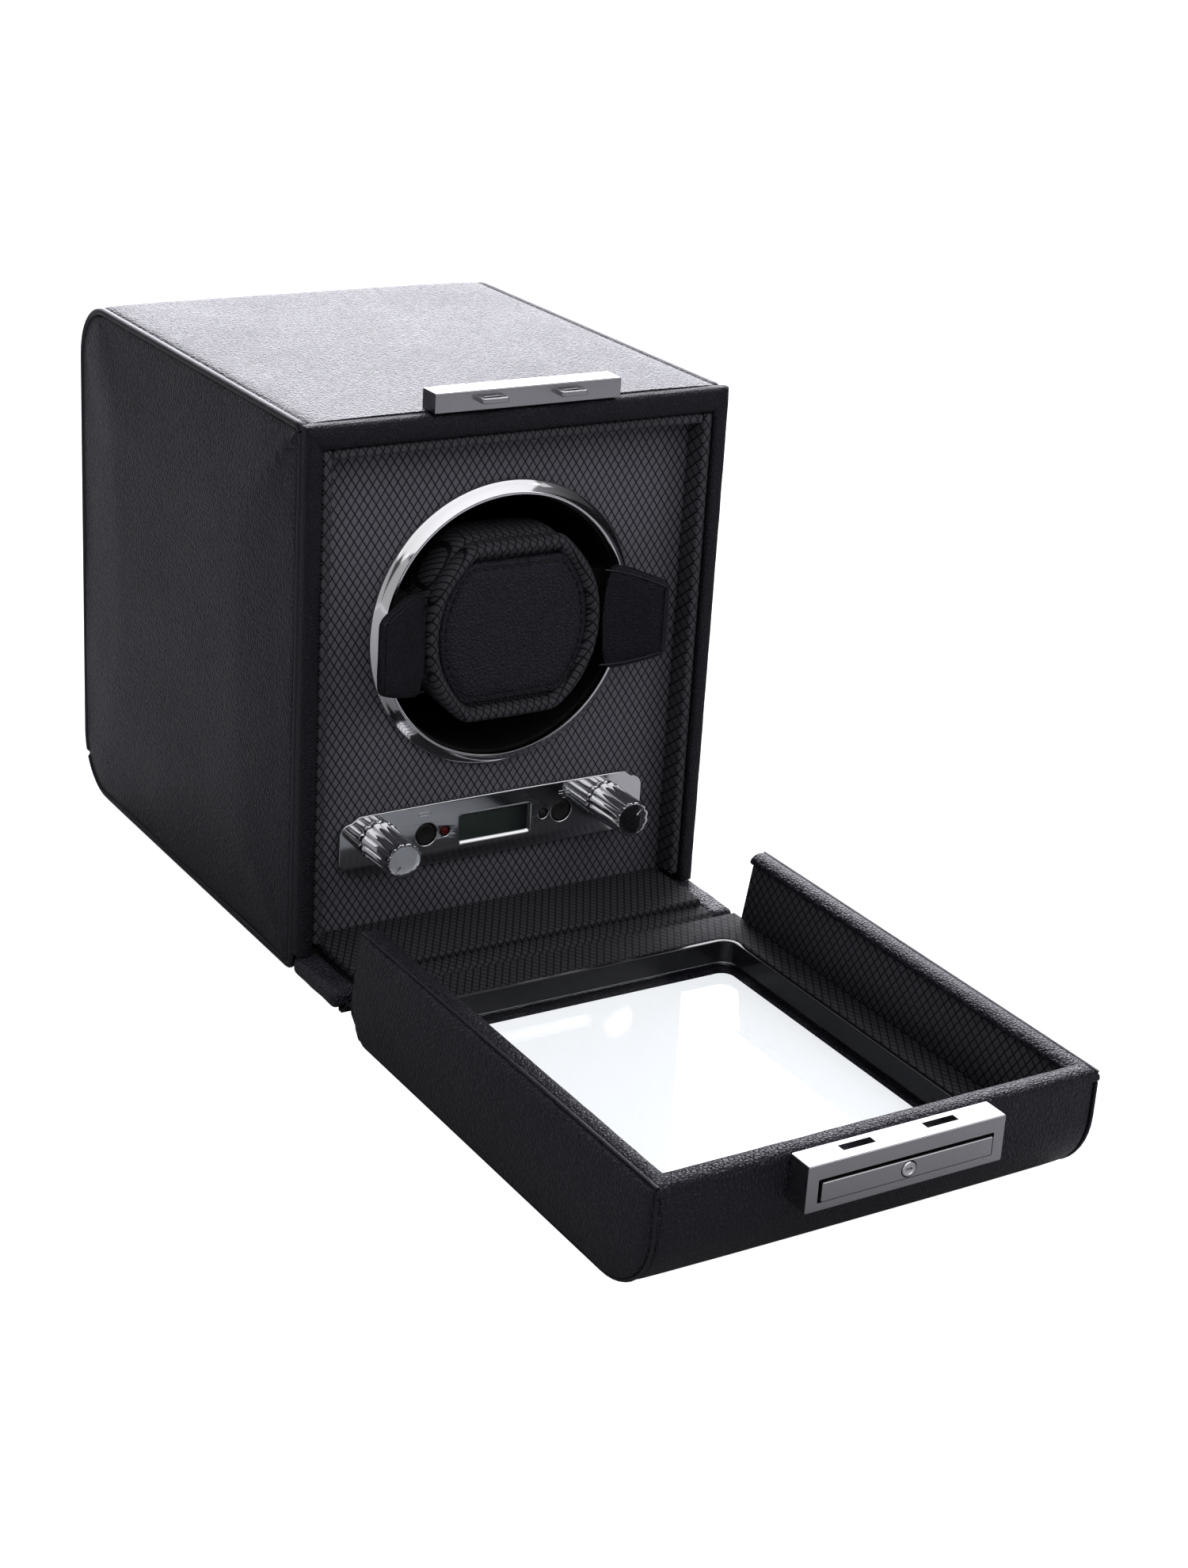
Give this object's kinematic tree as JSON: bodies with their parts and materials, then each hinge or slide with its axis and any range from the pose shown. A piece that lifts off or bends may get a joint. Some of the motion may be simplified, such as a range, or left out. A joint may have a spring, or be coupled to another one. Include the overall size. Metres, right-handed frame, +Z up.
{
  "type": "watch winder box",
  "caption": "Leather-covered watch winder box with a turning cup and watch cuff, dial controls, and a deep windowed lid hinged at the bottom front, shown open.",
  "frame": {"origin": "on the underside of the base pad, under the middle of the case body (half way between the front rim and the back)", "axes": "+X to the right seen from the front, +Y towards the back of the case, +Z up; the lid lies open towards -Y"},
  "size_m": [0.14, 0.3709, 0.1773],
  "materials": {
    "leather": "pebbled",
    "fabric": "woven lattice",
    "board": "black fibreboard",
    "chrome": "polished",
    "latch_metal": "satin",
    "steel": "bright",
    "black_plastic": "matt",
    "gloss_plastic": "gloss",
    "white_plastic": "matt",
    "glass": "clear",
    "circuit_board": "satin",
    "cell_wrap": "gloss",
    "rubber": "matt"
  },
  "bodies": {
    "case": {"case_wrap": "leather", "side_panel_left": "leather", "side_panel_right": "leather", "front_rim": "leather", "sill_frame": "leather", "soft_hinge_outer": "leather", "liner_left": "fabric", "liner_right": "fabric", "liner_top": "fabric", "sill_board": "fabric", "front_panel": "fabric", "soft_hinge_inner": "fabric", "case_carcass": "board", "bezel_ring": "chrome", "control_plate": "chrome", "catch_plate": "latch_metal", "motor_bracket": "steel", "gear_motor": "steel", "rotary_switch_left": "black_plastic", "rotary_switch_right": "black_plastic", "drum_housing": "black_plastic", "battery_box": "black_plastic", "dc_jack": "black_plastic", "display_module": "gloss_plastic", "led_left": "gloss_plastic", "led_right": "gloss_plastic", "shaft_bearing": "white_plastic", "circuit_board": "circuit_board", "battery_lower": "cell_wrap", "battery_upper": "cell_wrap", "base_pad": "rubber"},
    "rotor": {"rotor_cup": "black_plastic", "rotor_shaft": "steel", "rotor_gear": "white_plastic"},
    "motor_output": {"motor_pinion": "steel"},
    "cuff": {"cuff_core": "fabric", "cuff_roll": "fabric", "cuff_panel": "leather"},
    "cuff_wing_left": {"wing_left": "leather"},
    "cuff_wing_right": {"wing_right": "leather"},
    "lid": {"lid_tray": "board", "lid_wrap": "leather", "lid_side_left": "leather", "lid_side_right": "leather", "lid_rim": "leather", "lid_lining_floor": "fabric", "lid_lining_left": "fabric", "lid_lining_right": "fabric", "lid_lining_end": "fabric", "window_frame": "gloss_plastic", "window_glass": "glass", "latch_body": "latch_metal"},
    "latch_push": {"latch_bar": "latch_metal"},
    "lock": {"lock_barrel": "chrome"},
    "direction_knob": {"knob_left": "chrome"},
    "power_knob": {"knob_right": "chrome"},
    "minus_key": {"button_minus": "black_plastic"},
    "plus_key": {"button_plus": "black_plastic"},
    "battery_cover": {"battery_door": "black_plastic"}
  },
  "joints": [
    {"name": "lid_hinge", "type": "hinge", "parent": "case", "child": "lid", "pos_m": [0, -0.11325, 0.00675], "axis": [-1, 0, 0], "range_deg": [0, 90], "deforming": ["soft_hinge_outer", "soft_hinge_inner"]},
    {"name": "rotor_spin", "type": "hinge", "parent": "case", "child": "rotor", "pos_m": [0, 0, 0.1025], "axis": [0, -1, 0], "continuous": true},
    {"name": "motor_spin", "type": "hinge", "parent": "case", "child": "motor_output", "pos_m": [0, 0, 0.0724], "axis": [0, -1, 0], "continuous": true},
    {"name": "cuff_lift", "type": "slide", "parent": "rotor", "child": "cuff", "axis": [0, -1, 0], "range_m": [0, 0.015]},
    {"name": "wing_left_bend", "type": "hinge", "parent": "cuff", "child": "cuff_wing_left", "pos_m": [-0.032, -0.0819, 0.103], "axis": [0, 0, 1], "range_deg": [-25, 15], "stiffness_Nm_per_rad": 0.02},
    {"name": "wing_right_bend", "type": "hinge", "parent": "cuff", "child": "cuff_wing_right", "pos_m": [0.032, -0.0819, 0.103], "axis": [0, 0, -1], "range_deg": [-25, 15], "stiffness_Nm_per_rad": 0.02},
    {"name": "latch_press", "type": "slide", "parent": "lid", "child": "latch_push", "axis": [0, 1, 0], "range_m": [0, 0.0012], "stiffness_N_per_m": 400},
    {"name": "lock_turn", "type": "hinge", "parent": "latch_push", "child": "lock", "pos_m": [0, -0.286, 0.0281], "axis": [0, 1, 0], "range_deg": [0, 90]},
    {"name": "direction_turn", "type": "hinge", "parent": "case", "child": "direction_knob", "pos_m": [-0.0397, -0.092, 0.039], "axis": [0, 1, 0], "range_deg": [-60, 60]},
    {"name": "power_turn", "type": "hinge", "parent": "case", "child": "power_knob", "pos_m": [0.0397, -0.092, 0.039], "axis": [0, 1, 0], "range_deg": [0, 45]},
    {"name": "minus_press", "type": "slide", "parent": "case", "child": "minus_key", "axis": [0, 1, 0], "range_m": [0, 0.0008], "stiffness_N_per_m": 300},
    {"name": "plus_press", "type": "slide", "parent": "case", "child": "plus_key", "axis": [0, 1, 0], "range_m": [0, 0.0008], "stiffness_N_per_m": 300},
    {"name": "battery_door_hinge", "type": "hinge", "parent": "case", "child": "battery_cover", "pos_m": [0, 0.0825, 0.0265], "axis": [-1, 0, 0], "range_deg": [0, 95]}
  ],
  "couplings": [
    {"joint": "motor_spin", "follows": "rotor_spin", "ratio": -4}
  ]
}
